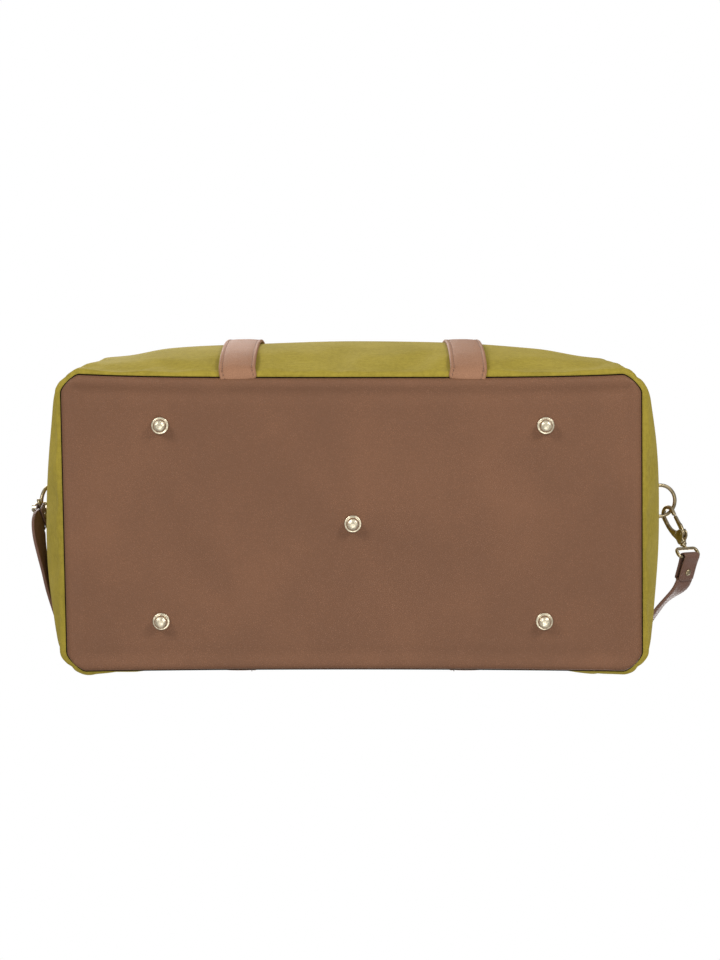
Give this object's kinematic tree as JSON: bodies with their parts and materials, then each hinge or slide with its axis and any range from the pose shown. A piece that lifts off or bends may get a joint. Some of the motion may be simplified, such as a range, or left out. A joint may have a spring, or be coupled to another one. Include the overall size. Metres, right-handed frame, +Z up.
{
  "type": "duffel bag",
  "caption": "Boxy canvas duffel bag with a leather base on domed feet, two upright handles, a top zip between hinged flaps, and a leather shoulder strap on snap hooks.",
  "frame": {"origin": "on the ground under the centre foot", "axes": "+Z up, +X along the bag to its right-hand end, -Y the front"},
  "size_m": [0.6337, 0.2986, 0.449],
  "materials": {
    "leather_base": "fine pebbled matt",
    "board": "plain",
    "welt": "matt",
    "brass": "pale, lightly hammered",
    "canvas": "brushed",
    "lining": "plain weave",
    "zip_tape": "herringbone tape",
    "zip_metal": "antique",
    "leather_strap": "semi-matt, stitched",
    "leather_sling": "semi-matt",
    "antique_brass": "antique satin"
  },
  "bodies": {
    "bag": {"base_panel": "leather_base", "base_board": "board", "base_welt": "welt", "feet": "brass", "foot_washers": "brass", "front_panel": "canvas", "back_panel": "canvas", "left_end_panel": "canvas", "right_end_panel": "canvas", "lining": "lining", "left_top_band": "canvas", "right_top_band": "canvas", "left_zip_end": "zip_metal", "right_zip_end": "zip_metal", "front_left_strap": "leather_strap", "front_right_strap": "leather_strap", "back_left_strap": "leather_strap", "back_right_strap": "leather_strap", "left_ring_tab": "leather_strap", "right_ring_tab": "leather_strap"},
    "front_flap": {"front_flap": "canvas", "front_zip_tape": "zip_tape", "front_zip_teeth": "zip_metal"},
    "back_flap": {"back_flap": "canvas", "back_zip_tape": "zip_tape", "back_zip_teeth": "zip_metal"},
    "zip_slider": {"zip_slider": "zip_metal"},
    "zip_pull": {"zip_pull": "zip_metal"},
    "front_handle": {"front_handle": "leather_strap", "front_grip": "leather_strap"},
    "back_handle": {"back_handle": "leather_strap", "back_grip": "leather_strap"},
    "left_ring": {"left_ring": "antique_brass"},
    "right_ring": {"right_ring": "antique_brass"},
    "sling": {"shoulder_strap": "leather_sling", "left_strap_end": "leather_sling", "right_strap_end": "leather_sling", "strap_rivets": "brass", "strap_buckle": "antique_brass", "strap_keeper": "leather_sling", "left_swivel": "antique_brass", "right_swivel": "antique_brass"},
    "left_hook": {"left_hook": "antique_brass"},
    "right_hook": {"right_hook": "antique_brass"},
    "left_gate": {"left_gate": "antique_brass"},
    "right_gate": {"right_gate": "antique_brass"}
  },
  "joints": [
    {"name": "front_flap_lift", "type": "hinge", "parent": "bag", "child": "front_flap", "pos_m": [0, -0.12745, 0.2892], "axis": [1, 0, 0], "range_deg": [0, 80]},
    {"name": "back_flap_lift", "type": "hinge", "parent": "bag", "child": "back_flap", "pos_m": [0, 0.12745, 0.2892], "axis": [-1, 0, 0], "range_deg": [0, 80]},
    {"name": "zip_run", "type": "slide", "parent": "bag", "child": "zip_slider", "axis": [-1, 0, 0], "range_m": [0, 0.444]},
    {"name": "zip_pull_flip", "type": "hinge", "parent": "zip_slider", "child": "zip_pull", "pos_m": [0.2239, 0, 0.2951], "axis": [0, -1, 0], "range_deg": [0, 175]},
    {"name": "front_handle_swing", "type": "hinge", "parent": "bag", "child": "front_handle", "pos_m": [0, -0.134, 0.291], "axis": [1, 0, 0], "range_deg": [-55, 150]},
    {"name": "back_handle_swing", "type": "hinge", "parent": "bag", "child": "back_handle", "pos_m": [0, 0.134, 0.291], "axis": [-1, 0, 0], "range_deg": [-55, 150]},
    {"name": "sling_swing", "type": "hinge", "parent": "bag", "child": "sling", "pos_m": [0.30078, 0.0125, 0.22514], "axis": [0.9991, 0.0176, 0.0383], "range_deg": [0, 30]},
    {"name": "left_ring_swing", "type": "hinge", "parent": "bag", "child": "left_ring", "pos_m": [-0.286, 0, 0.222], "axis": [0, 1, 0], "range_deg": [-5, 4]},
    {"name": "right_ring_swing", "type": "hinge", "parent": "bag", "child": "right_ring", "pos_m": [0.286, 0, 0.222], "axis": [0, -1, 0], "range_deg": [-1, 6]},
    {"name": "left_hook_swivel", "type": "hinge", "parent": "sling", "child": "left_hook", "pos_m": [-0.29536, 0.00192, 0.20326], "axis": [0.1606, 0.0803, -0.9837], "range_deg": [-12, 9]},
    {"name": "right_hook_swivel", "type": "hinge", "parent": "sling", "child": "right_hook", "pos_m": [0.30042, 0.01172, 0.22565], "axis": [0.3603, 0.7807, -0.5105], "range_deg": [-2, 12]},
    {"name": "left_gate_open", "type": "hinge", "parent": "left_hook", "child": "left_gate", "pos_m": [-0.29672, 0.00475, 0.17582], "axis": [0.1004, 0.9902, 0.0972], "range_deg": [0, 22], "stiffness_Nm_per_rad": 0.01, "springref_deg": -11.46},
    {"name": "right_gate_open", "type": "hinge", "parent": "right_hook", "child": "right_gate", "pos_m": [0.31248, 0.02918, 0.20798], "axis": [-0.8413, 0.0356, -0.5394], "range_deg": [0, 22], "stiffness_Nm_per_rad": 0.01, "springref_deg": -11.46}
  ]
}
